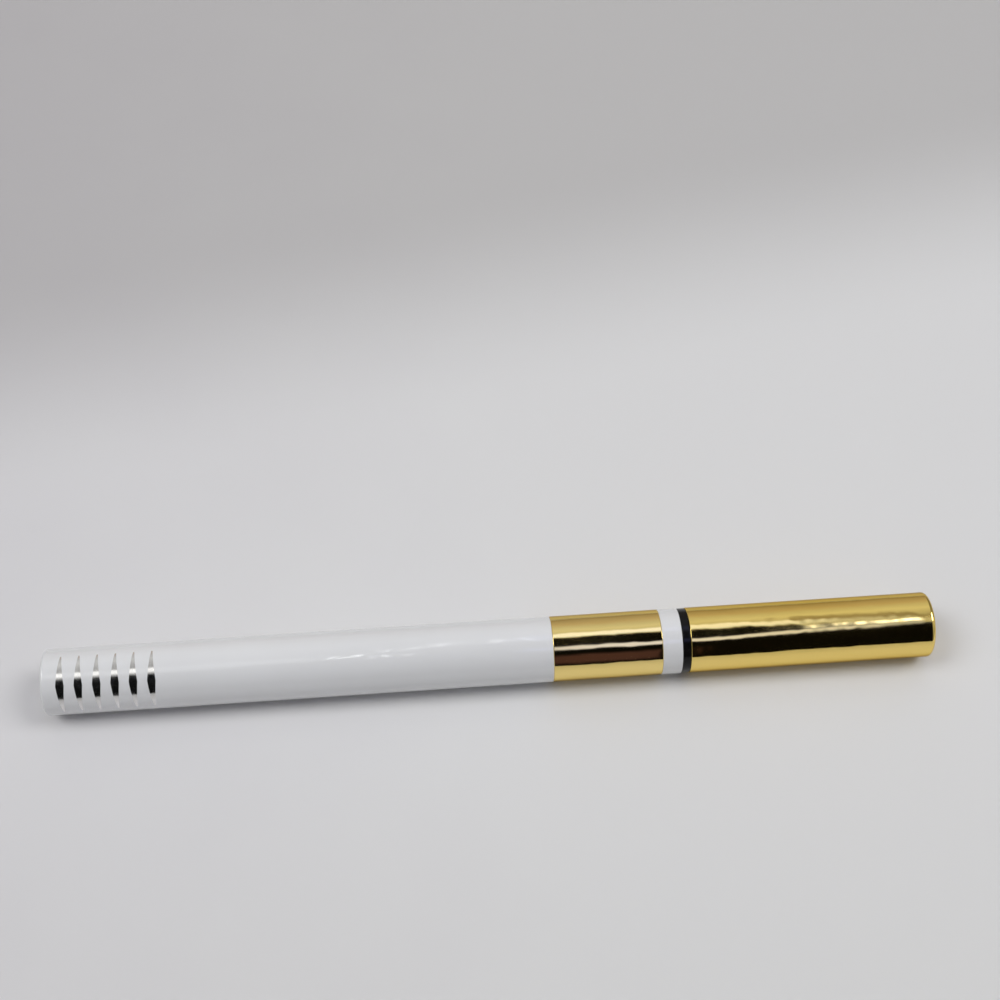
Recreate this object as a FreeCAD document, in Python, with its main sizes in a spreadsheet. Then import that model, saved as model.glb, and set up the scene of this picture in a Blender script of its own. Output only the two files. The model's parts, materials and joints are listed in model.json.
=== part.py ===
"""Liquid eyeliner pen, capped and lying along X, built as its separate pieces.

Stations are measured along the pen from the tail face towards the end of the cap.
The pen rests on z = 0 and its middle lies over the origin.
"""
import FreeCAD, Part
import math
import os
import types

import Sketcher

SIZES = [
    # Outside, in the order seen from the tail
    ("pen_diameter", 10.0, "barrel, bands and cap are flush"),
    ("barrel_length", 76.5, "white part of the barrel"),
    ("band_length", 16.6, "metal band"),
    ("collar_length", 3.0, "white ring in front of the band"),
    ("ring_length", 1.3, "black ring"),
    ("cap_length", 37.6, "metal cap"),
    ("tail_round", 0.5, "rounding of the tail edge"),
    ("cap_round", 0.6, "rounding of the cap end"),
    ("edge_break", 0.12, "small bevel at the seams"),
    # Walls
    ("barrel_wall", 1.1, "barrel tube"),
    ("band_wall", 0.4, "metal band and white ring"),
    ("tank_wall", 0.7, "ink tank tube"),
    ("tank_floor", 1.0, "ink tank bottom"),
    ("shell_wall", 0.4, "metal cap tube"),
    ("shell_end", 0.8, "metal cap end"),
    ("liner_wall", 0.45, "cap liner"),
    ("ring_wall", 0.55, "black ring"),
    ("section_wall", 0.9, "section round its rear chamber"),
    ("inner_cap_wall", 0.7, "sealing cup tube"),
    ("inner_cap_floor", 0.8, "sealing cup end"),
    # Clearances
    ("seat_gap", 0.03, "between pieces pressed or glued together, on the radius"),
    ("tank_gap", 0.15, "tank in barrel, on the radius"),
    ("turn_gap", 0.05, "black ring on the section, on the radius"),
    ("cap_gap", 0.1, "cap liner over the neck, on the radius"),
    ("seal_gap", 0.05, "sealing cup against the section"),
    ("inner_cap_gap", 0.3, "sealing cup in the liner, on the radius"),
    ("slide_gap", 0.06, "sealing cup flange in the liner, on the radius"),
    ("cone_gap", 0.2, "section cone in the sealing cup, on the radius"),
    ("fin_gap", 0.1, "collector fins in the tank, on the radius"),
    ("tip_room", 5.2, "free length in front of the nib tip"),
    # Tail plug
    ("plug_length", 8.5, "whole length"),
    ("plug_head", 1.2, "thickness of the head"),
    ("plug_lip", 0.4, "head beyond stem, on the radius"),
    ("plug_recess", 0.15, "head below the tail face"),
    ("plug_wall", 0.9, "skirt of the plug"),
    # Section, the nib holder
    ("section_spigot", 8.0, "length inside the barrel"),
    ("chamber_depth", 5.0, "rear chamber"),
    ("neck_length", 8.6, "neck the cap goes over"),
    ("bead_offset", 4.2, "middle of the cap bead from the black ring"),
    ("bead_height", 0.06, "cap bead above the neck"),
    ("bead_width", 0.6, "flat of the cap bead"),
    ("seat_length", 2.0, "land the sealing cup closes on"),
    ("seat_step", 0.7, "neck to land, on the radius"),
    ("tip_wall", 0.45, "cone at its tip"),
    # Collector and gasket
    ("gasket_thickness", 0.8, "tank gasket"),
    ("collector_flange", 1.2, "thickness of the flange"),
    ("land_length", 2.0, "plain land in the tank mouth"),
    ("core_wall", 0.65, "tube round the feed core"),
    ("fin_count", 20, "number of fins"),
    ("fin_pitch", 0.9, "fin to fin"),
    ("fin_thickness", 0.45, "one fin"),
    ("slot_width", 0.5, "ink slot through the fins"),
    # Feed core, nib and sleeve
    ("wick_diameter", 2.0, "feed core and nib shank"),
    ("feed_reach", 4.0, "feed core beyond the collector"),
    ("nib_grip", 12.0, "nib shank inside the section"),
    ("nib_exposed", 7.0, "nib in front of the sleeve"),
    ("nib_shoulder", 0.8, "straight part of the exposed nib"),
    ("nib_point", 0.25, "diameter at the very tip"),
    ("sleeve_wall", 0.45, "nib sleeve"),
    ("sleeve_flange", 0.8, "thickness of its flange"),
    ("sleeve_proud", 0.6, "sleeve in front of the cone"),
    # Sealing cup, its stop and its spring
    ("cup_flange", 1.2, "thickness of the flange"),
    ("cup_setback", 9.4, "flange to the end of the cup"),
    ("stop_length", 1.0, "stop ring in the liner"),
    ("groove_depth", 0.1, "groove in the liner over the cap bead"),
    ("pilot_height", 0.8, "boss inside the spring"),
    ("spring_length", 3.6, "fitted length"),
    ("spring_diameter", 5.2, "mean diameter"),
    ("spring_wire", 0.35, "wire diameter"),
    ("spring_turns", 3.5, "number of turns"),
    # Ball in the tank
    ("ball_diameter", 4.0, "steel ball"),
    ("ball_station", 36.0, "where the ball lies"),
    ("ball_gap", 0.05, "under the ball"),
]

SHEET = "sizes"


class Length:
    """A length in millimetres together with the sheet formula that gives it."""

    def __init__(self, value, formula):
        self.value = value
        self.formula = formula

    def __add__(self, other):
        other = as_length(other)
        return Length(self.value + other.value, f"({self.formula} + {other.formula})")

    def __sub__(self, other):
        other = as_length(other)
        return Length(self.value - other.value, f"({self.formula} - {other.formula})")

    def __mul__(self, other):
        other = as_length(other)
        return Length(self.value * other.value, f"({self.formula} * {other.formula})")

    def __truediv__(self, number):
        return Length(self.value / number, f"({self.formula} / {number})")

    def at_most(self, other):
        """The smaller of two lengths."""
        return Length(min(self.value, other.value), f"min({self.formula}; {other.formula})")


def as_length(item):
    """A plain number as a length; a length stays as it is."""
    if isinstance(item, Length):
        return item
    return Length(float(item), str(item))


def fill_sheet(document):
    """Writes the driving sizes in a sheet and returns them by name."""
    sheet = document.addObject("Spreadsheet::Sheet", SHEET)
    by_name = types.SimpleNamespace()
    for row, (name, value, note) in enumerate(SIZES, start=1):
        sheet.set(f"A{row}", name)
        sheet.set(f"B{row}", str(value))
        sheet.set(f"C{row}", note)
        sheet.setAlias(f"B{row}", name)
        setattr(by_name, name, Length(value, f"{SHEET}.{name}"))
    document.recompute()
    return by_name


doc = FreeCAD.newDocument("eyeliner_pen")
size = fill_sheet(doc)
zero = as_length(0)

# Stations along the pen, from the tail face
band_start = size.barrel_length
collar_start = band_start + size.band_length
barrel_front = collar_start + size.collar_length
cap_mouth = barrel_front + size.ring_length
pen_length = cap_mouth + size.cap_length
section_rear = barrel_front - size.section_spigot
chamber_end = section_rear + size.chamber_depth
flange_rear = section_rear - size.collector_flange
tank_mouth = flange_rear - size.gasket_thickness
tank_tail = size.plug_length
fins_end = tank_mouth - size.land_length
fins_start = fins_end - size.fin_pitch * size.fin_count
feed_rear = fins_start - size.feed_reach
neck_front = cap_mouth + size.neck_length
seat_front = neck_front + size.seat_length
shell_floor = pen_length - size.shell_end
cup_end = shell_floor - size.spring_length
cup_floor = cup_end - size.inner_cap_floor
nib_tip = cup_floor - size.tip_room
sleeve_front = nib_tip - size.nib_exposed
section_front = sleeve_front - size.sleeve_proud
nib_rear = section_front - size.nib_grip
cup_mouth = neck_front + size.seal_gap
cup_flange_start = cup_end - size.cup_setback
bead_middle = cap_mouth + size.bead_offset

# Radii, from the outside inwards
outer = size.pen_diameter / 2
bore = outer - size.barrel_wall
spigot = outer - size.band_wall
sleeve_bore = spigot + size.seat_gap
tank_outer = bore - size.tank_gap
tank_bore = tank_outer - size.tank_wall
shell_bore = outer - size.shell_wall
liner_outer = shell_bore - size.seat_gap
liner_bore = liner_outer - size.liner_wall
neck = liner_bore - size.cap_gap
seat = neck - size.seat_step
cup_outer = liner_bore - size.inner_cap_gap
cup_bore = cup_outer - size.inner_cap_wall
cup_seat = seat + size.seal_gap
ring_outer = outer - size.turn_gap
ring_bore = ring_outer - size.ring_wall
ring_land = ring_bore - size.turn_gap
plug_stem = bore - size.seat_gap
head_seat = bore + size.plug_lip
chamber = plug_stem - size.section_wall
wick = size.wick_diameter / 2
wick_bore = wick + size.seat_gap
sleeve_outer = wick_bore + size.sleeve_wall
section_bore = sleeve_outer + size.seat_gap
cone_base = cup_bore - size.cone_gap
cone_tip = section_bore + size.tip_wall
fin_outer = tank_bore - size.fin_gap
core = wick_bore + size.core_wall
fin_root = core - size.core_wall / 3
edge = size.edge_break


def origin_plane(body, role):
    """One of the body's own three origin planes."""
    return next(item for item in body.Origin.OriginFeatures if item.Role == role)


def new_body(name):
    """An empty body lying along X at the pen's axis, with the tail face at its station 0."""
    body = doc.addObject("PartDesign::Body", name)
    body.Label = name
    body.setExpression("Placement.Base.x", (zero - pen_length / 2).formula)
    body.setExpression("Placement.Base.z", outer.formula)
    return body


def rounding_arc(start, end, radius):
    """A quarter-circle rounding between two outline points, bulging away from the axis."""
    middle_x = max(start.x, end.x) if start.y < end.y else min(start.x, end.x)
    centre = FreeCAD.Vector(middle_x, min(start.y, end.y), 0)
    circle = Part.Circle(centre, FreeCAD.Vector(0, 0, 1), radius)
    first = math.atan2(end.y - centre.y, end.x - centre.x)
    last = math.atan2(start.y - centre.y, start.x - centre.x)
    return Part.ArcOfCircle(circle, first, last)


def outline_sketch(body, name, corners, role="XZ_Plane"):
    """A closed outline through the corners, each held by its two distances from the origin.

    A corner with a third length starts a rounding of that radius, which ends at the next corner.
    """
    sketch = body.newObject("Sketcher::SketchObject", name)
    sketch.AttachmentSupport = [(origin_plane(body, role), "")]
    sketch.MapMode = "FlatFace"
    points = [FreeCAD.Vector(corner[0].value, corner[1].value, 0) for corner in corners]
    count = len(points)
    ends = []
    for index, corner in enumerate(corners):
        start = points[index]
        end = points[(index + 1) % count]
        if len(corner) == 3:
            sketch.addGeometry(rounding_arc(start, end, corner[2].value), False)
            ends.append((2, 1))
        else:
            sketch.addGeometry(Part.LineSegment(start, end), False)
            ends.append((1, 2))
    for index in range(count):
        follower = (index + 1) % count
        rule = Sketcher.Constraint("Coincident", index, ends[index][1], follower, ends[follower][0])
        sketch.addConstraint(rule)
    for index, corner in enumerate(corners):
        for kind, length in zip(("DistanceX", "DistanceY"), corner):
            rule = Sketcher.Constraint(kind, -1, 1, index, ends[index][0], length.value)
            number = sketch.addConstraint(rule)
            sketch.setExpression(f"Constraints[{number}]", length.formula)
        if len(corner) == 3:
            number = sketch.addConstraint(Sketcher.Constraint("Radius", index, corner[2].value))
            sketch.setExpression(f"Constraints[{number}]", corner[2].formula)
    return sketch


def turn(body, name, corners):
    """Revolves an outline of (station, radius) corners round the pen's axis."""
    sketch = outline_sketch(body, name + "_profile", corners)
    feature = body.newObject("PartDesign::Revolution", name)
    feature.Profile = sketch
    feature.ReferenceAxis = (sketch, ["H_Axis"])
    feature.Angle = 360
    sketch.Visibility = False
    body.Tip = feature
    doc.recompute()
    return feature


def turned_piece(name, corners):
    """A body made by one revolved outline."""
    body = new_body(name)
    turn(body, name + "_turned", corners)
    return body


def bevelled_ring(start, end, inside, outside):
    """Corners of a plain ring with both outer edges bevelled."""
    return [
        (start, inside),
        (start, outside - edge),
        (start + edge, outside),
        (end - edge, outside),
        (end, outside - edge),
        (end, inside),
    ]


def build_barrel():
    """White tube with a seat for the plug's head and a thinner spigot under the bands."""
    rounding = size.tail_round.at_most((outer - head_seat) * 0.9)
    return turned_piece("barrel", [
        (zero, head_seat),
        (zero, outer - rounding, rounding),
        (rounding, outer),
        (band_start - edge, outer),
        (band_start, outer - edge),
        (band_start, spigot),
        (barrel_front - edge, spigot),
        (barrel_front, spigot - edge),
        (barrel_front, bore),
        (size.plug_recess + size.plug_head, bore),
        (size.plug_recess + size.plug_head, head_seat),
    ])


def build_tail_plug():
    """Hollow plug whose head closes the tail."""
    head = head_seat - size.seat_gap
    head_end = size.plug_recess + size.plug_head
    hollow = plug_stem - size.plug_wall
    return turned_piece("tail_plug", [
        (size.plug_recess, zero),
        (size.plug_recess, head - edge),
        (size.plug_recess + edge, head),
        (head_end, head),
        (head_end, plug_stem),
        (size.plug_length - edge, plug_stem),
        (size.plug_length, plug_stem - edge),
        (size.plug_length, hollow),
        (head_end, hollow),
        (head_end, zero),
    ])


def build_ink_tank():
    """Cup that holds the ink, open towards the nib."""
    floor = tank_tail + size.tank_floor
    return turned_piece("ink_tank", [
        (tank_tail, zero),
        (tank_tail, tank_outer - edge),
        (tank_tail + edge, tank_outer),
        (tank_mouth, tank_outer),
        (tank_mouth, tank_bore),
        (floor, tank_bore),
        (floor, zero),
    ])


def build_tank_gasket():
    """Flat ring between the tank's mouth and the collector."""
    return turned_piece("tank_gasket", [
        (tank_mouth, tank_bore),
        (tank_mouth, tank_outer),
        (flange_rear, tank_outer),
        (flange_rear, tank_bore),
    ])


def build_collector():
    """Finned regulator: plugs the tank, clamps the gasket and enters the section's chamber."""
    body = new_body("collector")
    land = tank_bore - size.seat_gap
    front = chamber_end - size.sleeve_flange
    front_spigot = chamber - size.seat_gap
    turn(body, "collector_core", [
        (fins_start, wick_bore),
        (fins_start, core),
        (fins_end, core),
        (fins_end, land),
        (flange_rear, land),
        (flange_rear, plug_stem),
        (section_rear, plug_stem),
        (section_rear, front_spigot),
        (front, front_spigot),
        (front, wick_bore),
    ])
    fin = turn(body, "collector_fin", [
        (fins_start, fin_root),
        (fins_start, fin_outer),
        (fins_start + size.fin_thickness, fin_outer),
        (fins_start + size.fin_thickness, fin_root),
    ])
    row = body.newObject("PartDesign::LinearPattern", "collector_fins")
    row.Originals = [fin]
    row.Direction = (fin.Profile[0], ["H_Axis"])
    span = size.fin_pitch * (size.fin_count - 1)
    row.Length = span.value
    row.setExpression("Length", span.formula)
    row.Occurrences = int(size.fin_count.value)
    row.setExpression("Occurrences", size.fin_count.formula)
    body.Tip = row
    doc.recompute()
    half = size.slot_width / 2
    slot_outline = outline_sketch(body, "collector_slot_outline", [
        (fins_start, zero - half),
        (fins_end, zero - half),
        (fins_end, half),
        (fins_start, half),
    ], role="XY_Plane")
    slot = body.newObject("PartDesign::Pocket", "collector_slot")
    slot.Profile = slot_outline
    slot.Type = "ThroughAll"
    slot.Reversed = True
    slot_outline.Visibility = False
    body.Tip = slot
    doc.recompute()
    return body


def build_feed_core():
    """Fibre rod from the tank to the back of the nib, with a tapered rear end."""
    return turned_piece("feed_core", [
        (feed_rear, zero),
        (feed_rear, wick * 0.6),
        (feed_rear + wick * 0.8, wick),
        (nib_rear, wick),
        (nib_rear, zero),
    ])


def build_section():
    """Nib holder: spigot in the barrel, land for the black ring, neck with bead, sealing land, cone."""
    bead_rear = bead_middle - size.bead_width / 2
    bead_front = bead_middle + size.bead_width / 2
    ramp = size.bead_width / 2
    return turned_piece("section", [
        (section_rear, chamber),
        (section_rear, plug_stem - edge),
        (section_rear + edge, plug_stem),
        (barrel_front, plug_stem),
        (barrel_front, ring_land),
        (cap_mouth, ring_land),
        (cap_mouth, neck),
        (bead_rear - ramp, neck),
        (bead_rear, neck + size.bead_height),
        (bead_front, neck + size.bead_height),
        (bead_front + ramp, neck),
        (neck_front - edge, neck),
        (neck_front, neck - edge),
        (neck_front, seat),
        (seat_front - edge, seat),
        (seat_front, seat - edge),
        (seat_front, cone_base),
        (section_front, cone_tip),
        (section_front, section_bore),
        (chamber_end, section_bore),
        (chamber_end, chamber),
    ])


def build_nib_sleeve():
    """Thin flanged tube that carries the nib through the section."""
    flange = chamber - size.seat_gap
    rear = chamber_end - size.sleeve_flange
    return turned_piece("nib_sleeve", [
        (rear, wick_bore),
        (rear, flange),
        (chamber_end, flange),
        (chamber_end, sleeve_outer),
        (sleeve_front - edge, sleeve_outer),
        (sleeve_front, sleeve_outer - edge),
        (sleeve_front, wick_bore),
    ])


def build_felt_nib():
    """Round felt shank drawn to a fine point."""
    shoulder = sleeve_front + size.nib_shoulder
    taper = nib_tip - shoulder
    point = size.nib_point / 2
    return turned_piece("felt_nib", [
        (nib_rear, zero),
        (nib_rear, wick),
        (shoulder, wick),
        (shoulder + taper * 0.3, wick * 0.8),
        (nib_tip - point, point),
        (nib_tip, point * 0.5),
        (nib_tip, zero),
    ])


def build_cap_shell():
    """Metal cup with a rounded end."""
    rounding = size.cap_round.at_most(size.shell_end * 0.9)
    return turned_piece("cap_shell", [
        (cap_mouth, shell_bore),
        (cap_mouth, outer - edge),
        (cap_mouth + edge, outer),
        (pen_length - rounding, outer, rounding),
        (pen_length, outer - rounding),
        (pen_length, zero),
        (shell_floor, zero),
        (shell_floor, shell_bore),
    ])


def build_cap_liner():
    """Plastic lining of the cap, with a groove over the bead and a stop ring for the sealing cup."""
    stop_end = cup_flange_start - size.seal_gap
    stop_start = stop_end - size.stop_length
    stop_bore = cup_outer + size.slide_gap
    groove = liner_bore + size.groove_depth
    groove_rear = bead_middle - size.bead_width
    groove_front = bead_middle + size.bead_width
    return turned_piece("cap_liner", [
        (cap_mouth + edge, liner_bore + edge),
        (cap_mouth + edge, liner_outer),
        (shell_floor - size.seal_gap, liner_outer),
        (shell_floor - size.seal_gap, liner_bore),
        (stop_end, liner_bore),
        (stop_end, stop_bore),
        (stop_start, stop_bore),
        (stop_start, liner_bore),
        (groove_front + size.groove_depth, liner_bore),
        (groove_front, groove),
        (groove_rear, groove),
        (groove_rear - size.groove_depth, liner_bore),
        (cap_mouth + edge * 2, liner_bore),
    ])


def build_inner_cap():
    """Sealing cup: closes on the section's land, with a flange at its stop and a boss for its spring."""
    flange = liner_bore - size.slide_gap
    mouth_end = seat_front + size.seal_gap
    pilot = size.spring_diameter / 2 - size.spring_wire
    return turned_piece("inner_cap", [
        (cup_mouth, cup_seat),
        (cup_mouth, cup_outer),
        (cup_flange_start, cup_outer),
        (cup_flange_start, flange),
        (cup_flange_start + size.cup_flange, flange),
        (cup_flange_start + size.cup_flange, cup_outer),
        (cup_end, cup_outer),
        (cup_end, pilot),
        (cup_end + size.pilot_height, pilot),
        (cup_end + size.pilot_height, zero),
        (cup_floor, zero),
        (cup_floor, cup_bore),
        (mouth_end, cup_bore),
        (mouth_end, cup_seat),
    ])


def build_inner_cap_spring():
    """Coil between the sealing cup and the end of the cap."""
    body = new_body("inner_cap_spring")
    wire = size.spring_wire / 2
    middle = cup_end + wire + size.seal_gap
    mean = size.spring_diameter / 2
    sketch = body.newObject("Sketcher::SketchObject", "spring_wire_outline")
    sketch.AttachmentSupport = [(origin_plane(body, "XZ_Plane"), "")]
    sketch.MapMode = "FlatFace"
    centre = FreeCAD.Vector(middle.value, mean.value, 0)
    sketch.addGeometry(Part.Circle(centre, FreeCAD.Vector(0, 0, 1), wire.value), False)
    rules = [
        (Sketcher.Constraint("Radius", 0, wire.value), wire),
        (Sketcher.Constraint("DistanceX", -1, 1, 0, 3, middle.value), middle),
        (Sketcher.Constraint("DistanceY", -1, 1, 0, 3, mean.value), mean),
    ]
    for rule, length in rules:
        number = sketch.addConstraint(rule)
        sketch.setExpression(f"Constraints[{number}]", length.formula)
    doc.recompute()
    coil = body.newObject("PartDesign::AdditiveHelix", "spring_coil")
    coil.Profile = sketch
    coil.ReferenceAxis = (sketch, ["H_Axis"])
    coil.Mode = "height-turns-angle"
    rise = size.spring_length - size.spring_wire - size.seal_gap * 2
    coil.Height = rise.value
    coil.setExpression("Height", rise.formula)
    coil.Turns = size.spring_turns.value
    coil.setExpression("Turns", size.spring_turns.formula)
    sketch.Visibility = False
    body.Tip = coil
    doc.recompute()
    return body


def build_mixing_ball():
    """Steel ball lying on the lower wall of the tank."""
    ball = doc.addObject("Part::Sphere", "mixing_ball")
    ball.Label = "mixing_ball"
    ball.setExpression("Radius", (size.ball_diameter / 2).formula)
    ball.setExpression("Placement.Base.x", (size.ball_station - pen_length / 2).formula)
    height = outer - tank_bore + size.ball_diameter / 2 + size.ball_gap
    ball.setExpression("Placement.Base.z", height.formula)
    doc.recompute()
    return ball


pieces = [
    build_barrel(),
    build_tail_plug(),
    turned_piece("gold_band", bevelled_ring(band_start, collar_start, sleeve_bore, outer)),
    turned_piece("front_collar", bevelled_ring(collar_start, barrel_front, sleeve_bore, outer)),
    build_ink_tank(),
    build_tank_gasket(),
    build_collector(),
    build_feed_core(),
    build_section(),
    build_nib_sleeve(),
    build_felt_nib(),
    turned_piece("seal_ring", bevelled_ring(barrel_front, cap_mouth, ring_bore, ring_outer)),
    build_cap_shell(),
    build_cap_liner(),
    build_inner_cap(),
    build_inner_cap_spring(),
    build_mixing_ball(),
]
doc.recompute()

for item in doc.Objects:
    if "Invalid" in item.State or "Error" in item.State:
        raise RuntimeError(f"{item.Label} did not build: {item.State}")
os.makedirs("parts", exist_ok=True)
for piece in pieces:
    shape = piece.Shape
    if shape.isNull() or not shape.isValid() or len(shape.Solids) != 1:
        raise RuntimeError(f"{piece.Label} is not one valid solid")
    shape.exportStep(f"parts/{piece.Label}.step")
    box = shape.BoundBox
    print(f"{piece.Label}: x {box.XMin:.2f} to {box.XMax:.2f}, z {box.ZMin:.2f} to {box.ZMax:.2f},"
          f" volume {shape.Volume:.1f}")
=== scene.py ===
"""Looks of a liquid eyeliner pen that lies capped on a pale table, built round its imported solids.

Lengths are millimetres along the pen (x), out from its axis, and in height; MM takes them to metres.
"""

import json
import math

import bmesh
import bpy
import numpy as np
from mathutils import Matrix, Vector


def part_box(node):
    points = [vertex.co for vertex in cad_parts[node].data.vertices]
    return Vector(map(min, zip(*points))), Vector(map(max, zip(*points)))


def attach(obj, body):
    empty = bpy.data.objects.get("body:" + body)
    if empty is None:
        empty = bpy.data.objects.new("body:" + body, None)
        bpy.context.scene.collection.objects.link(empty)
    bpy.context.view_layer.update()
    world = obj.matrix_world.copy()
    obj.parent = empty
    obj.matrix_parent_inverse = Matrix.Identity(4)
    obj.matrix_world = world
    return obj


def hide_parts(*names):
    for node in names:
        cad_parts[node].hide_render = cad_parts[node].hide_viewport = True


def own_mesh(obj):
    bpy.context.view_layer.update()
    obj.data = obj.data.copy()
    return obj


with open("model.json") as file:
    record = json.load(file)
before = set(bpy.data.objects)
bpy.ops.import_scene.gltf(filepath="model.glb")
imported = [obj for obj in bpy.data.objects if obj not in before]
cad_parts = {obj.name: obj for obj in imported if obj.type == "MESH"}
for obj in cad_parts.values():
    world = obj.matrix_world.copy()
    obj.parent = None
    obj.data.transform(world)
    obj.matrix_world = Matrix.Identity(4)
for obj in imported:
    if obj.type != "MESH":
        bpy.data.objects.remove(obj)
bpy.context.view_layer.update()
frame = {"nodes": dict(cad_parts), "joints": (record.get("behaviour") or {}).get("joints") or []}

MM = 0.001
joints = {joint["name"]: joint for joint in frame["joints"]}

# Height of the pen's axis, which the cap turns about
axis_height = joints["cap_twist"]["pos_m"][2] / MM


def ends(node):
    """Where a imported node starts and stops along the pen."""
    low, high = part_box(node)
    return low.x / MM, high.x / MM


def reach(node):
    """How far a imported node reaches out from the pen's axis."""
    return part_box(node)[1].z / MM - axis_height


# Stations along the pen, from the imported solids
tail, barrel_front = ends("barrel")
plug_face, plug_end = ends("tail_plug")
band_rear, band_front = ends("gold_band")
collar_rear, collar_front = ends("front_collar")
ring_rear, ring_front = ends("seal_ring")
cap_mouth, cap_end = ends("cap_shell")
liner_mouth, liner_end = ends("cap_liner")
cup_mouth, boss_end = ends("inner_cap")
section_rear, section_front = ends("section")
sleeve_rear, sleeve_front = ends("nib_sleeve")
nib_rear, nib_tip = ends("felt_nib")
spring_rear, spring_front = ends("inner_cap_spring")

# Walls of the tubes
BARREL_WALL = 1.1
METAL_WALL = 0.4
LINER_WALL = 0.45
RING_WALL = 0.55
SLEEVE_WALL = 0.45
CUP_WALL = 0.7
SEAT_WALL = 0.7
CHAMBER_WALL = 0.9
TIP_WALL = 0.45

# Gaps between pieces, from pressed together to easily loose
RUN_GAP = 0.01
PRESS_GAP = 0.03
RING_GAP = 0.05
SEAL_GAP = 0.05
STOP_GAP = 0.06
NECK_GAP = 0.1
CONE_GAP = 0.2
CUP_GAP = 0.3

# Radii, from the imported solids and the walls
pen_radius = reach("barrel")
barrel_bore = pen_radius - BARREL_WALL
spigot = pen_radius - METAL_WALL
band_bore = spigot + PRESS_GAP
shell_bore = pen_radius - METAL_WALL
liner_radius = reach("cap_liner")
liner_bore = liner_radius - LINER_WALL
ring_radius = reach("seal_ring")
ring_bore = ring_radius - RING_WALL
ring_land = ring_bore - RING_GAP
stem = barrel_bore - PRESS_GAP
plug_head = reach("tail_plug")
head_seat = plug_head + PRESS_GAP
neck = liner_bore - NECK_GAP
nib_radius = reach("felt_nib")
sleeve_bore = nib_radius + PRESS_GAP
sleeve_radius = sleeve_bore + SLEEVE_WALL
section_bore = sleeve_radius + PRESS_GAP
cup_flange = reach("inner_cap")
cup_radius = liner_bore - CUP_GAP
cup_bore = cup_radius - CUP_WALL
seat = neck - SEAT_WALL
chamber = stem - CHAMBER_WALL
cone_base = cup_bore - CONE_GAP
cone_tip = section_bore + TIP_WALL

# Roundings of edges that show
TAIL_ROUND = 0.5
CAP_ROUND = 0.6
SEAM_ROUND = 0.09
RING_ROUND = 0.14
MOULD_ROUND = 0.1

# Fineness of the meshes
AROUND = 192
ARC_STEPS = 8
ARC_MARGIN = 0.02
SMOOTH_BELOW = math.radians(32)


def skin(name, points, loop_rows):
    """Closed mesh over a grid of points.

    Neighbours along both parameters share a quad. Columns close on themselves; rows do where loop_rows
    says so. Rows that shrink to one point are merged into a pole. The signed volume, which is the sum
    of a . (b x c) over the faces, says whether the faces have to be turned to point outwards.
    """
    index = np.arange(points.shape[0] * points.shape[1]).reshape(points.shape[:2])
    index = np.hstack([index, index[:, :1]])
    if loop_rows:
        index = np.vstack([index, index[:1]])
    quads = np.stack([index[:-1, :-1], index[1:, :-1], index[1:, 1:], index[:-1, 1:]], axis=-1)
    quads = quads.reshape(-1, 4)
    vertices = points.reshape(-1, 3)
    corner = vertices[quads] - vertices.mean(axis=0)
    volume = np.sum(corner[:, 0] * np.cross(corner[:, 1], corner[:, 2]))
    volume += np.sum(corner[:, 0] * np.cross(corner[:, 2], corner[:, 3]))
    if volume < 0:
        quads = quads[:, ::-1]
    mesh = bpy.data.meshes.new(name)
    mesh.from_pydata(vertices.tolist(), [], quads.tolist())
    work = bmesh.new()
    work.from_mesh(mesh)
    bmesh.ops.remove_doubles(work, verts=work.verts, dist=1e-8)
    work.to_mesh(mesh)
    work.free()
    mesh.shade_smooth()
    mesh.set_sharp_from_angle(angle=SMOOTH_BELOW)
    piece = bpy.data.objects.new(name, mesh)
    bpy.context.scene.collection.objects.link(piece)
    return piece


def rounded(*corners):
    """Outline through corners of (along, out) or (along, out, rounding).

    A rounded corner becomes an arc that touches both straight runs: its centre lies on the corner's
    bisector at rounding / sin(half angle). A point just outside each end keeps the runs flat.
    """
    spots = np.array([corner[:2] for corner in corners], float)
    before, after = np.roll(spots, 1, axis=0), np.roll(spots, -1, axis=0)
    runs = []
    for corner, spot, last, following in zip(corners, spots, before, after):
        if len(corner) == 2:
            runs.append(spot[None])
            continue
        back = (last - spot) / np.linalg.norm(last - spot)
        on = (following - spot) / np.linalg.norm(following - spot)
        half = math.acos(np.clip(back @ on, -1, 1)) / 2
        touch = corner[2] / math.tan(half)
        middle = (back + on) / np.linalg.norm(back + on)
        centre = spot + middle * corner[2] / math.sin(half)
        first, final = spot + back * touch - centre, spot + on * touch - centre
        start = math.atan2(first[1], first[0])
        sweep = (math.atan2(final[1], final[0]) - start + math.pi) % (2 * math.pi) - math.pi
        angle = start + sweep * np.linspace(0, 1, ARC_STEPS + 1)
        arc = centre + corner[2] * np.stack([np.cos(angle), np.sin(angle)], axis=1)
        runs += [[spot + back * (touch + ARC_MARGIN)], arc, [spot + on * (touch + ARC_MARGIN)]]
    return np.vstack(runs)


def turned(name, outline, loop=True):
    """Lathe: each point (along, out) of the outline turns once round the pen's axis.

    x = along, y = out * sin(turn), z = axis height + out * cos(turn).
    """
    turn = np.linspace(0, 2 * math.pi, AROUND, endpoint=False)
    along, out = np.asarray(outline, float).T
    points = np.empty((len(along), AROUND, 3))
    points[..., 0] = along[:, None]
    points[..., 1] = np.outer(out, np.sin(turn))
    points[..., 2] = axis_height + np.outer(out, np.cos(turn))
    return skin(name, points * MM, loop)


def fit(piece, finish, body, slot, *nodes):
    """Gives a piece its finish and the body it moves with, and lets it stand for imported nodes."""
    piece.data.materials.append(finish)
    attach(piece, body)
    if nodes:
        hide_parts(*nodes)
    return piece


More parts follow.
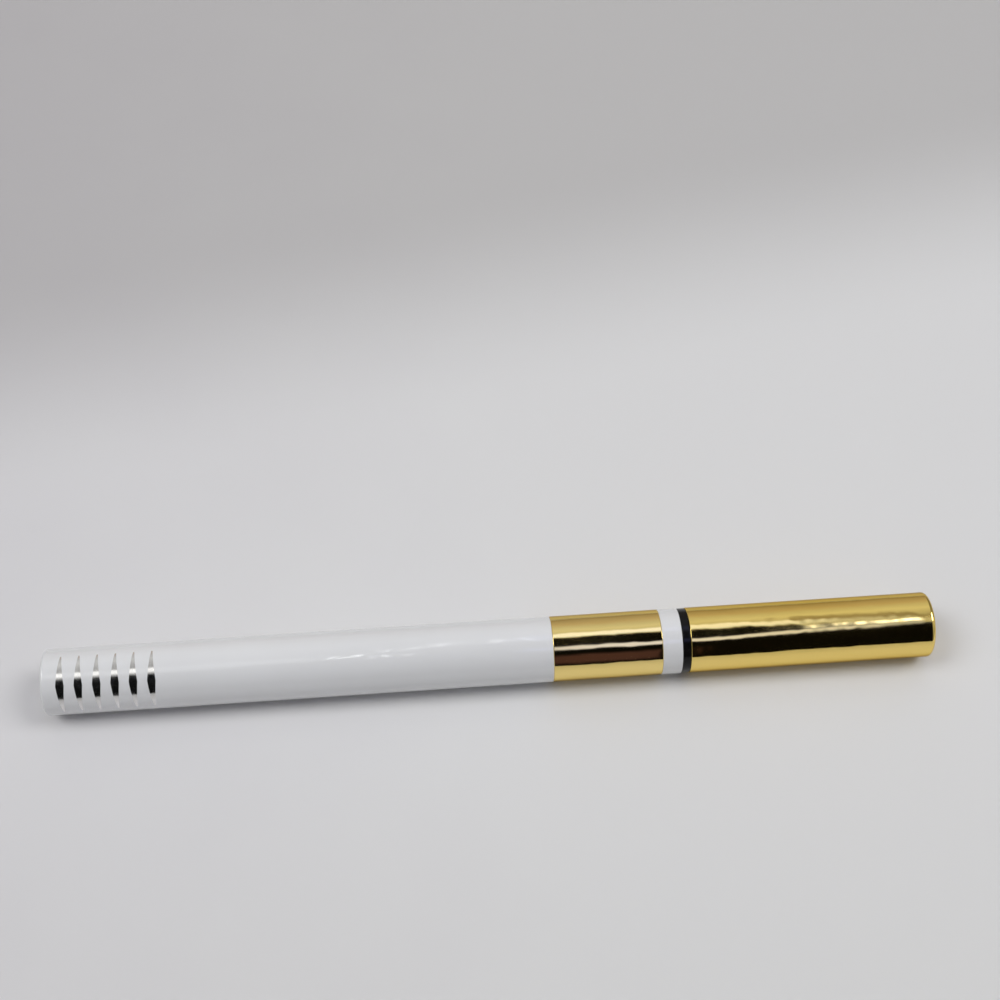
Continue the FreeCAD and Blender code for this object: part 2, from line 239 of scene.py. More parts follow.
class Nodes:
    """Short names for the nodes of one shader tree."""

    def __init__(self, tree):
        self.tree = tree

    def add(self, kind):
        return self.tree.nodes.new(kind)

    def put(self, value, socket):
        """Links a socket to another, or sets a plain number or colour on it."""
        if isinstance(value, bpy.types.NodeSocket):
            self.tree.links.new(value, socket)
        else:
            socket.default_value = value

    def sum(self, operation, first, second=0.0):
        """One step of arithmetic on sockets or numbers."""
        step = self.add("ShaderNodeMath")
        step.operation = operation
        self.put(first, step.inputs[0])
        self.put(second, step.inputs[1])
        return step.outputs["Value"]

    def between(self, value, low, high, to_low=0.0, to_high=1.0, ease="LINEAR"):
        """Maps a value's range onto another, held at both ends."""
        span = self.add("ShaderNodeMapRange")
        span.interpolation_type = ease
        limits = {"From Min": low, "From Max": high, "To Min": to_low, "To Max": to_high}
        for label, number in limits.items():
            span.inputs[label].default_value = number
        self.put(value, span.inputs["Value"])
        return span.outputs["Result"]

    def ramp(self, value, stops):
        """Colour through stops of (place, tone), where a tone is a grey level or a colour."""
        ramp = self.add("ShaderNodeValToRGB")
        elements = ramp.color_ramp.elements
        for place, _ in stops[2:]:
            elements.new(place)
        for element, (place, tone) in zip(elements, sorted(stops)):
            element.position = place
            element.color = (*np.broadcast_to(tone, 3), 1)
        self.put(value, ramp.inputs["Fac"])
        return ramp.outputs["Color"]

    def blend(self, mode, share, first, second):
        """Two colours blended by a share of the second."""
        mix = self.add("ShaderNodeMix")
        mix.data_type = "RGBA"
        mix.blend_type = mode
        self.put(share, mix.inputs["Factor"])
        self.put(first, mix.inputs[6])
        self.put(second, mix.inputs[7])
        return mix.outputs[2]

    def mixed(self, share, first, second):
        """Colour from first to second."""
        return self.blend("MIX", share, first, second)


class Finish(Nodes):
    """A procedural surface: one Principled shader fed by patterns on the piece's Object coordinates."""

    def __init__(self, name, **settings):
        self.material = bpy.data.materials.new(name)
        self.material.use_nodes = True
        super().__init__(self.material.node_tree)
        self.shader = self.tree.nodes["Principled BSDF"]
        self.coordinates = self.add("ShaderNodeTexCoord").outputs["Object"]
        for label, value in settings.items():
            self.shader.inputs[label.replace("_", " ")].default_value = value

    def noise(self, grain, detail=2.0, stretch=(1, 1, 1)):
        """Noise whose blotches are about grain millimetres across, drawn out along an axis by stretch."""
        place = self.add("ShaderNodeMapping")
        place.inputs["Scale"].default_value = [1 / share for share in stretch]
        self.put(self.coordinates, place.inputs["Vector"])
        noise = self.add("ShaderNodeTexNoise")
        noise.inputs["Scale"].default_value = 1 / (grain * MM)
        noise.inputs["Detail"].default_value = detail
        self.put(place.outputs["Vector"], noise.inputs["Vector"])
        return noise.outputs["Fac"]

    def towards(self, direction, start, stop, ease="LINEAR"):
        """0 to 1 between two distances along a direction."""
        way = self.add("ShaderNodeVectorMath")
        way.operation = "DOT_PRODUCT"
        way.inputs[1].default_value = direction
        self.put(self.coordinates, way.inputs[0])
        return self.between(way.outputs["Value"], start * MM, stop * MM, ease=ease)

    def colour(self, value, *tones):
        """Paints the base from the first tone to the last as a value goes from 0.3 to 0.7."""
        stops = list(zip(np.linspace(0.3, 0.7, len(tones)), tones))
        self.put(self.ramp(value, stops), self.shader.inputs["Base Color"])

    def roughness(self, value, low, high):
        """Roughness from low to high as a value goes from 0.3 to 0.7."""
        self.put(self.between(value, 0.3, 0.7, low, high), self.shader.inputs["Roughness"])

    def relief(self, *patterns, socket="Normal"):
        """Bumps: each pattern of (value, height) stands height millimetres proud."""
        normal = None
        for value, height in patterns:
            bump = self.add("ShaderNodeBump")
            bump.inputs["Distance"].default_value = height * MM
            self.put(value, bump.inputs["Height"])
            if normal:
                self.put(normal, bump.inputs["Normal"])
            normal = bump.outputs["Normal"]
        self.put(normal, self.shader.inputs[socket])


def white_lacquer():
    """Cool white gloss paint over plastic, with the ripple of its clear coat drawn out along the pen."""
    paint = Finish("white_lacquer", Specular_IOR_Level=0.2, Coat_Weight=1.0, Coat_Roughness=0.03)
    paint.colour(paint.noise(14), (0.790, 0.795, 0.795), (0.810, 0.815, 0.815))
    paint.roughness(paint.noise(2.5), 0.28, 0.36)
    paint.relief((paint.noise(0.5), 0.0008))
    waves = (paint.noise(3.2, detail=1, stretch=(4, 1, 1)), 0.10)
    ripple = (paint.noise(1.3, detail=1, stretch=(14, 1, 1)), 0.09)
    paint.relief(waves, ripple, socket="Coat Normal")
    return paint.material


def polished_gold(name, pale, deep):
    """Bright gold plating, drawn slightly uneven along the tube and browner at a glancing angle."""
    gold = Finish(name, Metallic=1.0, Specular_Tint=(0.55, 0.46, 0.34, 1))
    gold.colour(gold.noise(9, stretch=(4, 1, 1)), deep, pale)
    gold.roughness(gold.noise(3, stretch=(5, 1, 1)), 0.06, 0.11)
    waves = (gold.noise(7, detail=1, stretch=(2, 1, 1)), 0.20)
    ripple = (gold.noise(2, detail=1, stretch=(1.6, 1, 1)), 0.04)
    gold.relief(waves, ripple)
    return gold.material


def ring_rubber():
    """Smooth black rubber with a soft shine."""
    rubber = Finish("ring_rubber", Specular_IOR_Level=0.2)
    rubber.colour(rubber.noise(1.2), (0.002, 0.002, 0.002), (0.006, 0.006, 0.006))
    rubber.roughness(rubber.noise(0.7), 0.14, 0.22)
    rubber.relief((rubber.noise(0.25), 0.0008))
    return rubber.material


def holder_plastic():
    """Satin black moulding with faint tool marks round it."""
    plastic = Finish("holder_plastic", Specular_IOR_Level=0.4)
    plastic.colour(plastic.noise(3), (0.007, 0.007, 0.008), (0.016, 0.016, 0.018))
    plastic.roughness(plastic.noise(1.1), 0.22, 0.32)
    plastic.relief((plastic.noise(0.5, detail=1, stretch=(1, 12, 12)), 0.002))
    return plastic.material


def sleeve_plastic():
    """Harder, glossier black tube that grips the nib."""
    plastic = Finish("sleeve_plastic")
    plastic.colour(plastic.noise(2), (0.030, 0.030, 0.033), (0.055, 0.055, 0.060))
    plastic.roughness(plastic.noise(0.8), 0.18, 0.28)
    plastic.relief((plastic.noise(0.2), 0.0008))
    return plastic.material


def inked_felt():
    """Black ink in felt: fibres run lengthwise, and the ink shines more towards the point."""
    felt = Finish("inked_felt", Sheen_Weight=0.15, Sheen_Roughness=0.5)
    fibres = felt.noise(0.06, detail=4, stretch=(40, 1, 1))
    felt.colour(fibres, (0.006, 0.006, 0.007), (0.018, 0.018, 0.020), (0.045, 0.044, 0.048))
    wet = felt.towards((1, 0, 0), sleeve_front, nib_tip)
    felt.put(felt.between(wet, 0, 1, 0.72, 0.38), felt.shader.inputs["Roughness"])
    felt.relief((fibres, 0.02))
    return felt.material


def liner_plastic():
    """Matt black lining of the cap, with the rings that turning the mould left."""
    plastic = Finish("liner_plastic")
    plastic.colour(plastic.noise(2.5), (0.022, 0.022, 0.023), (0.045, 0.045, 0.048))
    plastic.roughness(plastic.noise(0.9), 0.42, 0.56)
    plastic.relief((plastic.noise(0.15, stretch=(1, 40, 40)), 0.003))
    return plastic.material


def sealing_plastic():
    """Natural soft plastic, milky and a little waxy."""
    plastic = Finish("sealing_plastic", Subsurface_Weight=0.25, Subsurface_Scale=0.6 * MM)
    plastic.colour(plastic.noise(2), (0.74, 0.73, 0.69), (0.82, 0.81, 0.77))
    plastic.roughness(plastic.noise(0.6), 0.34, 0.46)
    plastic.relief((plastic.noise(0.3), 0.002))
    return plastic.material


def drawn_wire():
    """Spring steel with fine marks of drawing."""
    wire = Finish("drawn_wire", Metallic=1.0)
    wire.colour(wire.noise(0.5), (0.50, 0.50, 0.51), (0.66, 0.66, 0.67))
    wire.roughness(wire.noise(0.12), 0.22, 0.36)
    wire.relief((wire.noise(0.05), 0.001))
    return wire.material


def tank_plastic():
    """Cloudy clear moulding, greyer where the ink has stained it."""
    plastic = Finish("tank_plastic", Transmission_Weight=0.6, IOR=1.5)
    plastic.colour(plastic.noise(6), (0.62, 0.65, 0.67), (0.82, 0.85, 0.86))
    plastic.roughness(plastic.noise(1.5), 0.18, 0.32)
    plastic.relief((plastic.noise(0.9), 0.002))
    return plastic.material


def gasket_rubber():
    """Dark grey sealing rubber."""
    rubber = Finish("gasket_rubber")
    rubber.colour(rubber.noise(0.6), (0.050, 0.050, 0.052), (0.085, 0.085, 0.088))
    rubber.roughness(rubber.noise(0.4), 0.5, 0.7)
    rubber.relief((rubber.noise(0.15), 0.003))
    return rubber.material


def collector_plastic():
    """Pale moulded plastic of the fins, tinted by ink in patches."""
    plastic = Finish("collector_plastic")
    plastic.colour(plastic.noise(2.2), (0.42, 0.42, 0.43), (0.62, 0.62, 0.61), (0.72, 0.72, 0.70))
    plastic.roughness(plastic.noise(0.8), 0.32, 0.46)
    plastic.relief((plastic.noise(0.3), 0.002))
    return plastic.material


def feed_fibre():
    """Bundle of fibres dark with ink."""
    fibre = Finish("feed_fibre", Sheen_Weight=0.1)
    strands = fibre.noise(0.08, detail=3, stretch=(60, 1, 1))
    fibre.colour(strands, (0.020, 0.020, 0.021), (0.060, 0.058, 0.060))
    fibre.roughness(strands, 0.55, 0.8)
    fibre.relief((strands, 0.02))
    return fibre.material


def ball_steel():
    """Polished steel, dulled in places by the ink."""
    steel = Finish("ball_steel", Metallic=1.0)
    steel.colour(steel.noise(1.0), (0.58, 0.58, 0.59), (0.72, 0.72, 0.73))
    steel.roughness(steel.noise(0.6), 0.06, 0.16)
    steel.relief((steel.noise(0.3), 0.0006))
    return steel.material


def silver_foil():
    """Hot stamped silver foil, a little crinkled."""
    foil = Finish("silver_foil", Metallic=1.0)
    foil.colour(foil.noise(1.4), (0.76, 0.75, 0.73), (0.87, 0.86, 0.84))
    foil.roughness(foil.noise(0.6), 0.10, 0.18)
    foil.relief((foil.noise(0.9), 0.003))
    return foil.material


def table_top_painted_shade():
    """Pale grey table with a dull shine, and painted shade: darker and cooler towards the tail's end, and
    dimmer to the back and the front.
    """
    top = Finish("table_top_painted_shade")
    cloud = top.between(top.noise(30, detail=3), 0.3, 0.7, -0.06, 0.06)
    # Painted shade: along x the base darkens and cools towards the tail's end, as the light falls off; the
    # cloud is random tone
    tone = top.sum("ADD", top.towards((1, 0, 0), -140, 120), cloud)
    paint = top.ramp(tone, [
        (0.0, (0.690, 0.677, 0.690)),
        (0.55, (0.762, 0.760, 0.752)),
        (1.0, (0.780, 0.778, 0.768)),
    ])
    # Painted shade: the base dims a little towards the front
    front = top.towards((0, -1, 0), 8, 55)
    paint = top.blend("MULTIPLY", front, paint, (0.94, 0.94, 0.93, 1))
    # Painted shade: the base dims behind the pen, standing in for a backdrop that turns up away from the
    # light
    back = top.towards((-0.19, 1, 0), 52, 110, ease="SMOOTHSTEP")
    paint = top.blend("MULTIPLY", back, paint, (0.715, 0.705, 0.700, 1))
    top.put(paint, top.shader.inputs["Base Color"])
    top.roughness(top.noise(6), 0.34, 0.42)
    return top.material


# Details of the hidden fittings
PLUG_HEAD = 1.2
SHELL_END = 0.8
CHAMBER_DEPTH = 5.0
NECK_LENGTH = 8.6
SEAT_LENGTH = 2.0
BEAD_OFFSET, BEAD_HEIGHT, BEAD_WIDTH = 4.2, 0.06, 0.6
GROOVE_DEPTH = 0.1
BOSS_HEIGHT = 0.8
CUP_END = 0.8
FLANGE_OFFSET, FLANGE_WIDTH = 9.4, 1.2
STOP_WIDTH = 1.0
SPRING_WIRE, SPRING_TURNS = 0.35, 3.5
shell_floor = cap_end - SHELL_END
chamber_end = section_rear + CHAMBER_DEPTH
neck_front = cap_mouth + NECK_LENGTH
seat_front = neck_front + SEAT_LENGTH
bead_middle = cap_mouth + BEAD_OFFSET
cup_end = boss_end - BOSS_HEIGHT
cup_floor = cup_end - CUP_END
flange_rear = cup_end - FLANGE_OFFSET
flange_front = flange_rear + FLANGE_WIDTH


def barrel_skin():
    """White tube with a rounded tail, a seat for the plug and a thinner front under the bands."""
    seat_floor = plug_face + PLUG_HEAD
    return turned("barrel_skin", rounded(
        (tail, head_seat, 0.04),
        (tail, pen_radius, TAIL_ROUND),
        (band_rear, pen_radius, SEAM_ROUND),
        (band_rear, spigot),
        (barrel_front, spigot),
        (barrel_front, barrel_bore),
        (seat_floor, barrel_bore),
        (seat_floor, head_seat),
    ))


def tail_plug_skin():
    """White plug: a head that closes the tail and a hollow skirt inside the barrel."""
    head_end = plug_face + PLUG_HEAD
    return turned("tail_plug_skin", rounded(
        (plug_face, 0),
        (plug_face, plug_head, 0.12),
        (head_end, plug_head),
        (head_end, stem),
        (plug_end, stem, MOULD_ROUND),
        (plug_end, chamber, MOULD_ROUND),
        (head_end, chamber),
        (head_end, 0),
    ), loop=False)


def sleeve_band(name, rear, front, bore, radius, rounding):
    """Plain tube with rounded outer edges, as the bands and the black ring are."""
    return turned(name, rounded(
        (rear, bore),
        (rear, radius, rounding),
        (front, radius, rounding),
        (front, bore),
    ))


def cap_skin():
    """Gold cup with a rounded end."""
    return turned("cap_skin", rounded(
        (shell_floor, 0),
        (shell_floor, shell_bore),
        (cap_mouth, shell_bore),
        (cap_mouth, pen_radius, SEAM_ROUND),
        (cap_end, pen_radius, CAP_ROUND),
        (cap_end, 0),
    ), loop=False)


def lining_skin():
    """Black lining of the cap: a lead-in at the mouth, a groove for the snap bead, and a stop ring."""
    groove = liner_bore + GROOVE_DEPTH
    stop_front = flange_rear - SEAL_GAP
    stop_rear = stop_front - STOP_WIDTH
    stop_bore = cup_radius + STOP_GAP
    return turned("lining_skin", rounded(
        (liner_mouth, liner_bore, 0.12),
        (liner_mouth, liner_radius),
        (liner_end, liner_radius),
        (liner_end, liner_bore),
        (stop_front, liner_bore),
        (stop_front, stop_bore, 0.06),
        (stop_rear, stop_bore, 0.06),
        (stop_rear, liner_bore),
        (bead_middle + BEAD_WIDTH + GROOVE_DEPTH, liner_bore),
        (bead_middle + BEAD_WIDTH, groove),
        (bead_middle - BEAD_WIDTH, groove),
        (bead_middle - BEAD_WIDTH - GROOVE_DEPTH, liner_bore),
    ))


def sealing_cup_skin():
    """Pale cup that closes over the nib, with a lip for the holder, a flange and a boss for its spring."""
    lip = seat + SEAL_GAP
    lip_end = seat_front + SEAL_GAP
    boss = reach("inner_cap_spring") - SPRING_WIRE * 1.5
    return turned("sealing_cup_skin", rounded(
        (boss_end, 0),
        (boss_end, boss, MOULD_ROUND),
        (cup_end, boss),
        (cup_end, cup_radius, MOULD_ROUND),
        (flange_front, cup_radius),
        (flange_front, cup_flange, MOULD_ROUND),
        (flange_rear, cup_flange, MOULD_ROUND),
        (flange_rear, cup_radius),
        (cup_mouth, cup_radius, MOULD_ROUND),
        (cup_mouth, lip, 0.05),
        (lip_end, lip),
        (lip_end, cup_bore),
        (cup_floor, cup_bore, 0.4),
        (cup_floor, 0),
    ), loop=False)


def spring_skin():
    """Spring: a circle of wire carried along a helix round the pen's axis, with rounded ends.

    Middle of the wire: (x, mean * sin(turn), axis + mean * cos(turn)) with x rising evenly with turn.
    Round it: wire radius * (cos(b) * outwards + sin(b) * along), shrunk to a point at both ends.
    """
    steps, sides, tip = 320, 14, 0.003
    wire = SPRING_WIRE / 2
    mean = reach("inner_cap_spring") - wire
    share = np.linspace(0, 1, steps)
    turn = 2 * math.pi * SPRING_TURNS * share
    rise = (spring_rear + wire) + (spring_front - spring_rear - 2 * wire) * share
    outwards = np.stack([np.zeros(steps), np.sin(turn), np.cos(turn)], axis=1)
    middle = outwards * mean + np.stack([rise, np.zeros(steps), np.full(steps, axis_height)], axis=1)
    b = np.linspace(0, 2 * math.pi, sides, endpoint=False)
    into_tip = np.clip(1 - (0.5 - np.abs(share - 0.5)) / tip, 0, 1)
    blunt = wire * np.sqrt(1 - into_tip ** 2)
    ring = np.cos(b)[:, None] * outwards[:, None] + np.sin(b)[:, None] * np.array([1.0, 0, 0])
    return skin("spring_skin", (middle[:, None] + blunt[:, None, None] * ring) * MM, loop_rows=False)


def holder_skin():
    """Black nib holder: spigot, land for the black ring, neck with its snap bead, sealing land and cone."""
    return turned("holder_skin", rounded(
        (section_rear, chamber),
        (section_rear, stem, MOULD_ROUND),
        (barrel_front, stem),
        (barrel_front, ring_land),
        (cap_mouth, ring_land, 0.06),
        (cap_mouth, neck),
        (bead_middle - BEAD_WIDTH, neck, 0.3),
        (bead_middle - BEAD_WIDTH / 2, neck + BEAD_HEIGHT, 0.5),
        (bead_middle + BEAD_WIDTH / 2, neck + BEAD_HEIGHT, 0.5),
        (bead_middle + BEAD_WIDTH, neck, 0.3),
        (neck_front, neck, 0.15),
        (neck_front, seat),
        (seat_front, seat, 0.12),
        (seat_front, cone_base),
        (section_front, cone_tip, 0.15),
        (section_front, section_bore, 0.05),
        (chamber_end, section_bore),
        (chamber_end, chamber),
    ))


def nib_sleeve_skin():
    """Tube that carries the nib through the holder, with a flange at its rear."""
    flange = chamber - PRESS_GAP
    return turned("nib_sleeve_skin", rounded(
        (sleeve_rear, sleeve_bore),
        (sleeve_rear, flange),
        (chamber_end, flange),
        (chamber_end, sleeve_radius),
        (sleeve_front, sleeve_radius, 0.18),
        (sleeve_front, sleeve_bore, 0.05),
    ))


def nib_skin():
    """Felt nib: a round shank that draws to a blunt point, with the flutes of its fibres.

    Radius along the taper: shank * (1 - 0.9 * share ** 1.35), and an ellipse over the last bit.
    Flutes: the exposed part loses up to a fixed share of that radius, by three waves round the axis.
    """
    run_in, blunt, flute = 0.8, 0.16, 0.06
    shoulder = sleeve_front + run_in
    along = np.concatenate([
        [nib_rear, nib_rear, nib_rear + 0.02],
        np.linspace(sleeve_front - 1, nib_tip - blunt, 90),
        nib_tip - blunt * np.cos(np.linspace(0, math.pi / 2, 12)[1:]),
    ])
    share = np.clip((along - shoulder) / (nib_tip - shoulder), 0, 1)
    close = np.sqrt(np.clip(1 - np.clip((along - nib_tip) / blunt + 1, 0, 1) ** 2, 0, 1))
    out = nib_radius * (1 - 0.9 * share ** 1.35) * close
    out[0] = 0
    turn = np.linspace(0, 2 * math.pi, AROUND, endpoint=False)
    waves = np.cos(11 * turn + 0.4) + 0.7 * np.cos(19 * turn + 2.1) + 0.5 * np.cos(31 * turn + 4.0)
    depth = flute * np.clip((along - sleeve_front) / run_in, 0, 1)
    out = out[:, None] * (1 - depth[:, None] * (0.5 - waves / 4.4))
    points = np.empty((len(along), AROUND, 3))
    points[..., 0] = along[:, None]
    points[..., 1] = out * np.sin(turn)
    points[..., 2] = axis_height + out * np.cos(turn)
    return skin("nib_skin", points * MM, loop_rows=False)


# Row of foil lozenges on the tail: pitch is 0 at the near side, 90 at the top
MARK_COUNT, MARK_STEP, MARK_START = 6, 2.7, 3.0
MARK_WIDTH, MARK_TIP = 1.25, 0.2
MARK_MIDDLE, MARK_HALF = math.radians(50), math.radians(55)
FOIL_PROUD, FOIL_SUNK = 0.012, 0.02


def foil_mark(number):
    """One lozenge of foil: a flat strip carried round the barrel whose width falls evenly to both tips."""
    steps = 41
    v = np.linspace(-1, 1, steps)
    half = (MARK_TIP + (MARK_WIDTH - MARK_TIP) * (1 - np.abs(v))) / 2
    v, half = np.r_[v[0], v, v[-1]], np.r_[0, half, 0]
    turn = MARK_MIDDLE + MARK_HALF * v - math.pi / 2
    lid = np.r_[0, np.ones(steps), 0]
    along = tail + MARK_START + MARK_STEP * number + half[:, None] * np.array([-1, -1, 1, 1])
    out = pen_radius + lid[:, None] * np.array([-FOIL_SUNK, FOIL_PROUD, FOIL_PROUD, -FOIL_SUNK])
    points = np.stack([
        along,
        out * np.sin(turn)[:, None],
        axis_height + out * np.cos(turn)[:, None],
    ], axis=-1)
    return skin(f"foil_mark_{number + 1}", points * MM, loop_rows=False)


def dress_pen():
    """Hangs every piece on its body, in place of the solid it stands for."""
    white = white_lacquer()
    band_gold = polished_gold("band_gold", (1.0, 0.79, 0.31), (0.99, 0.76, 0.26))
    cap_gold = polished_gold("cap_gold", (1.0, 0.76, 0.25), (0.99, 0.73, 0.20))
    fit(barrel_skin(), white, "pen", "white_gloss", "barrel")
    fit(tail_plug_skin(), white, "pen", "white_gloss", "tail_plug")
    band = sleeve_band("band_skin", band_rear, band_front, band_bore, pen_radius, SEAM_ROUND)
    fit(band, band_gold, "pen", "gold_metal", "gold_band")
    collar = sleeve_band("collar_skin", collar_rear, collar_front, band_bore, pen_radius, SEAM_ROUND)
    fit(collar, white, "pen", "white_gloss", "front_collar")
    fit(holder_skin(), holder_plastic(), "pen", "black_plastic", "section")
    fit(nib_sleeve_skin(), sleeve_plastic(), "pen", "sleeve_plastic", "nib_sleeve")
    fit(nib_skin(), inked_felt(), "pen", "felt", "felt_nib")
    ring_ends = ring_rear + RUN_GAP, ring_front - RUN_GAP
    ring = sleeve_band("ring_skin", *ring_ends, ring_bore, ring_radius, RING_ROUND)
    fit(ring, ring_rubber(), "ring", "black_rubber", "seal_ring")
    fit(cap_skin(), cap_gold, "cap", "gold_metal", "cap_shell")
    fit(lining_skin(), liner_plastic(), "cap", "liner_plastic", "cap_liner")
    fit(sealing_cup_skin(), sealing_plastic(), "sealing_cup", "inner_cap_plastic", "inner_cap")
    spring = fit(spring_skin(), drawn_wire(), "cap", "spring_steel", "inner_cap_spring")
    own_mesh(spring)
    foil = silver_foil()
    for number in range(MARK_COUNT):
        fit(foil_mark(number), foil, "pen", "ball_steel")


def finish_inner_nodes():
    """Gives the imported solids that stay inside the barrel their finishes."""
    finishes = {
        "ink_tank": tank_plastic,
        "tank_gasket": gasket_rubber,
        "collector": collector_plastic,
        "feed_core": feed_fibre,
        "mixing_ball": ball_steel,
    }
    for node, finish in finishes.items():
        surfaces = frame["nodes"][node].data.materials
        surfaces.clear()
        surfaces.append(finish())


def table():
    """Flat table under the pen, which lies near its front edge."""
    half, front = 3.0, -0.080
    corners = [(-half, front, 0), (half, front, 0), (half, half, 0), (-half, half, 0)]
    mesh = bpy.data.meshes.new("table")
    mesh.from_pydata(corners, [], [(0, 1, 2, 3)])
    mesh.materials.append(table_top_painted_shade())
    top = bpy.data.objects.new("table", mesh)
    bpy.context.scene.collection.objects.link(top)


# Studio by pitch in degrees, where 0 is the near horizon, 90 straight up and 180 the far horizon
WARM = np.array([1.0, 0.88, 0.80])
FAR_WALL = [
    (60, 0.42),
    (95, 0.42),
    (121, 0.66),
    (134, 0.56),
    (149, WARM * 0.48),
    (167, WARM * 0.38),
    (180, WARM * 0.30),
]
NEAR_SIDE = (0.003, 0.003, 0.003, 1)
SIDE_ROOM = [(0, 0.26), (30, 0.32), (60, 0.48), (80, 0.48), (105, 0.22), (180, 0.18)]
SIDE_START, SIDE_STOP = 0.34, 0.46
BACKDROP = (0.62, 0.62, 0.63, 1)
# Strips: blend, bow of (top, bend, middle, lowest), half width, ends along x, tone
MAIN_BEND, MAIN_MIDDLE, STRIP_FADE = 720, 0.115, 0.012
MAIN_BOW = (104, MAIN_BEND, MAIN_MIDDLE, 78)
WALL_BOW = (94, MAIN_BEND, MAIN_MIDDLE, 64)
WALL_FADE = 3
STRIPS = [
    ("ADD", MAIN_BOW, 11, (-0.30, -0.08), (0.80, 0.80, 0.80)),
    ("ADD", MAIN_BOW, 11, (0.05, 0.246), (0.48, 0.56, 1.15)),
    ("ADD", MAIN_BOW, 11, (0.246, 0.310), (0.10, 0.13, 0.30)),
    ("ADD", (77, 0, 0, 0), 8, (0.267, 0.295), (2.20, 2.40, 4.20)),
    ("ADD", (57, -240, 0.10, 0), 8, (0.05, 0.255), (0.74, 0.81, 1.60)),
    ("ADD", (70, 0, 0, 0), 15, (0.246, 0.310), (0.46, 0.52, 0.95)),
    ("MULTIPLY", (120, MAIN_BEND, MAIN_MIDDLE, 0), 12, (0.215, 0.34), (0.58, 0.53, 0.46)),
    ("ADD", (18, 0, 0, 0), 22, (0.04, 0.150), (0.060, 0.030, 0.045)),
]
# Two rows of small lamps, each with its place along x, pitch, length and strength
LAMP_HALF = 9
LAMPS = [
    (-0.067, 80, 0.005, 6.0),
    (-0.055, 80, 0.006, 7.5),
    (-0.037, 92, 0.005, 2.8),
    (-0.039, 68, 0.006, 2.5),
    (-0.025, 91, 0.007, 3.0),
    (-0.026, 70, 0.007, 4.0),
    (-0.012, 93, 0.006, 2.8),
    (-0.013, 69, 0.006, 3.0),
    (0.001, 96, 0.005, 3.4),
    (0.014, 98, 0.012, 3.0),
    (0.039, 100, 0.010, 3.2),
    (0.057, 101, 0.009, 2.7),
]
STRIPS += [
    ("ADD", (pitch, 0, 0, 0), LAMP_HALF, (x - length / 2, x + length / 2), (strength, strength, strength))
    for x, pitch, length, strength in LAMPS
]


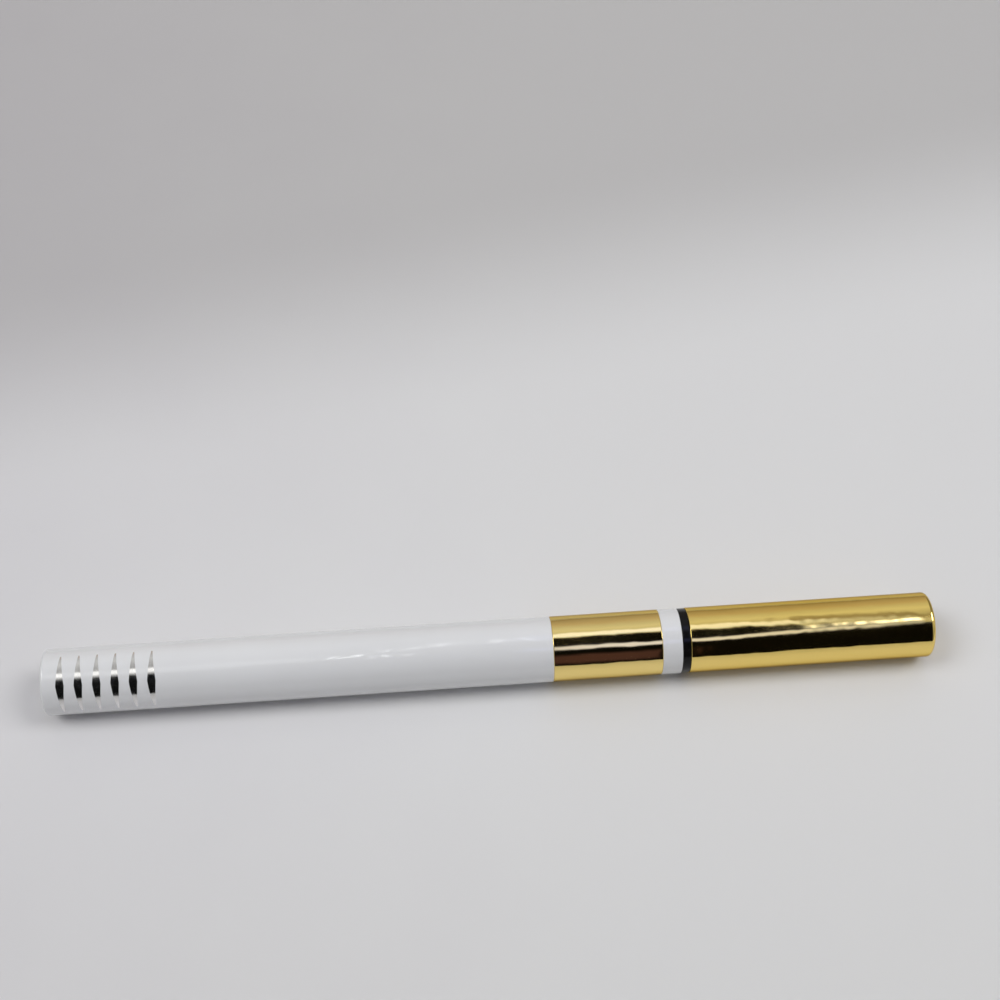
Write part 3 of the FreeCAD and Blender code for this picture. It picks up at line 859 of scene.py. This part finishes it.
def studio_world():
    """Room light by direction, as the sum of a far wall, strips of light and shade, and plain sides.

    A strip follows an arch, pitch = top - bend * (x - middle) ** 2 but never under a lowest pitch, and
    fades towards both its edges and its ends.
    The far wall starts a little under the main strip's arch, and the near side below it is dark.
    Further to the sides than the pen can mirror to the camera, the room is plain.
    """
    world = bpy.data.worlds.new("studio")
    bpy.context.scene.world = world
    world.use_nodes = True
    sky = Nodes(world.node_tree)
    split = sky.add("ShaderNodeSeparateXYZ")
    sky.put(sky.add("ShaderNodeTexCoord").outputs["Generated"], split.inputs["Vector"])
    x, y, z = (split.outputs[axis] for axis in "XYZ")
    radians = sky.sum("ARCTAN2", z, sky.sum("MULTIPLY", y, -1))
    pitch = sky.sum("MULTIPLY", radians, 180 / math.pi)
    share = sky.sum("DIVIDE", pitch, 180)

    def arch(top, bend, middle, lowest):
        drop = sky.sum("MULTIPLY", sky.sum("POWER", sky.sum("SUBTRACT", x, middle), 2), bend)
        return sky.sum("MAXIMUM", sky.sum("SUBTRACT", top, drop), lowest)

    over = sky.sum("SUBTRACT", pitch, arch(*WALL_BOW))
    over_edge = sky.between(over, -WALL_FADE, WALL_FADE, ease="SMOOTHSTEP")
    wall = sky.ramp(share, [(place / 180, tone) for place, tone in FAR_WALL])
    room = sky.mixed(over_edge, NEAR_SIDE, wall)
    for blend, bow, half, (start, stop), tone in STRIPS:
        off = sky.sum("ABSOLUTE", sky.sum("SUBTRACT", pitch, arch(*bow)))
        inside = sky.between(off, half, half / 3, ease="SMOOTHSTEP")
        fade = min(STRIP_FADE, (stop - start) / 4)
        left = sky.between(x, start - fade, start + fade, ease="SMOOTHSTEP")
        right = sky.between(x, stop + fade, stop - fade, ease="SMOOTHSTEP")
        factor = sky.sum("MULTIPLY", inside, sky.sum("MULTIPLY", left, right))
        room = sky.blend(blend, factor, room, (*tone, 1))
    far_aside = sky.between(sky.sum("ABSOLUTE", x), SIDE_START, SIDE_STOP, ease="SMOOTHSTEP")
    sides = sky.ramp(share, [(place / 180, tone) for place, tone in SIDE_ROOM])
    room = sky.mixed(far_aside, room, sides)
    camera_ray = sky.add("ShaderNodeLightPath").outputs["Is Camera Ray"]
    seen = sky.mixed(camera_ray, room, BACKDROP)
    sky.put(seen, world.node_tree.nodes["Background"].inputs["Color"])


def soft_lamp(name, pitch, aside, spread, strength):
    """Broad distant lamp: pitch from the near horizon, aside towards either end of the pen, in degrees."""
    lamp = bpy.data.lights.new(name, "SUN")
    lamp.energy = strength
    lamp.angle = math.radians(spread)
    holder = bpy.data.objects.new(name, lamp)
    bpy.context.scene.collection.objects.link(holder)
    rise, turn = math.radians(pitch), math.radians(aside)
    source = Vector((math.sin(turn), -math.cos(rise) * math.cos(turn), math.sin(rise) * math.cos(turn)))
    holder.rotation_euler = source.to_track_quat("Z", "Y").to_euler()


# View: angles in degrees, then the aimed point's offsets, the distance and the lens in millimetres
VIEW_DOWN, VIEW_TURN = 52.3, 4.46
VIEW_RIGHT, VIEW_UP, VIEW_FAR = 1.14, 23.43, 237.4
VIEW_LENS, VIEW_SENSOR = 55.8, 36


def camera():
    """Looks down on the pen from the near side, a little turned."""
    down, turn = math.radians(VIEW_DOWN), math.radians(VIEW_TURN)
    right = Vector((math.cos(turn), -math.sin(turn), 0))
    ahead = Vector((math.sin(turn), math.cos(turn), 0))
    line = ahead * math.cos(down) - Vector((0, 0, 1)) * math.sin(down)
    up = ahead * math.sin(down) + Vector((0, 0, 1)) * math.cos(down)
    aim = Vector((0, 0, axis_height)) + right * VIEW_RIGHT + up * VIEW_UP
    lens = bpy.data.cameras.new("camera")
    lens.sensor_width = VIEW_SENSOR
    lens.lens = VIEW_LENS
    lens.clip_start = 0.01
    holder = bpy.data.objects.new("camera", lens)
    bpy.context.scene.collection.objects.link(holder)
    holder.location = (aim - line * VIEW_FAR) * MM
    holder.rotation_euler = line.to_track_quat("-Z", "Y").to_euler()
    bpy.context.scene.camera = holder


dress_pen()
finish_inner_nodes()
table()
studio_world()
soft_lamp("left_lamp", pitch=86, aside=-36, spread=28, strength=0.91)
soft_lamp("right_lamp", pitch=86, aside=36, spread=28, strength=0.91)
camera()
bpy.context.scene.view_settings.view_transform = "Standard"
